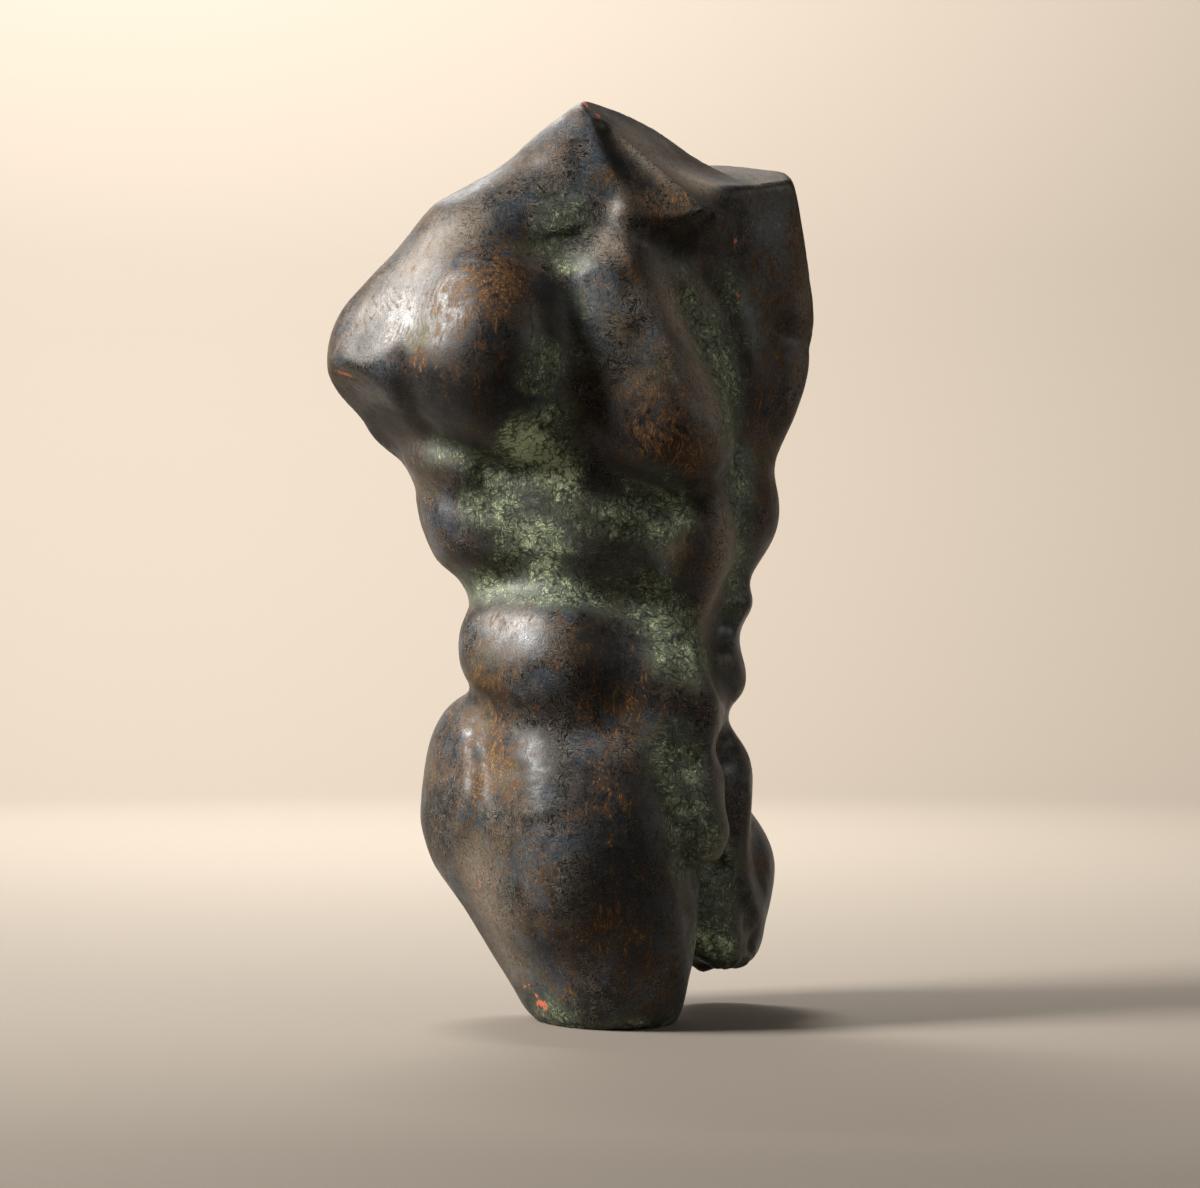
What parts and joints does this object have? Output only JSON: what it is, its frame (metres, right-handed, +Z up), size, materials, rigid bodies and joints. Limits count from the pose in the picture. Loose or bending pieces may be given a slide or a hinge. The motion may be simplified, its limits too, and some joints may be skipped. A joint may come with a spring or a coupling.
{
  "type": "torso sculpture",
  "caption": "Headless, armless standing male torso in patinated terracotta, cut off at the neck, shoulders and thighs, that stands on the flat underside of its right thigh.",
  "frame": {"origin": "middle of the flat underside of the right thigh, on the surface that the torso stands on", "axes": "+Z up to the tip of the neck, -Y towards the chest's front, +X towards the figure's left shoulder"},
  "size_m": [0.3195, 0.2126, 0.5983],
  "materials": {
    "patinated_terracotta": "fired clay under a waxed dark brown and blue-grey patina, pale green in the hollows, with orange clay in small chips"
  },
  "bodies": {
    "root": {"torso": "patinated_terracotta"}
  },
  "joints": []
}
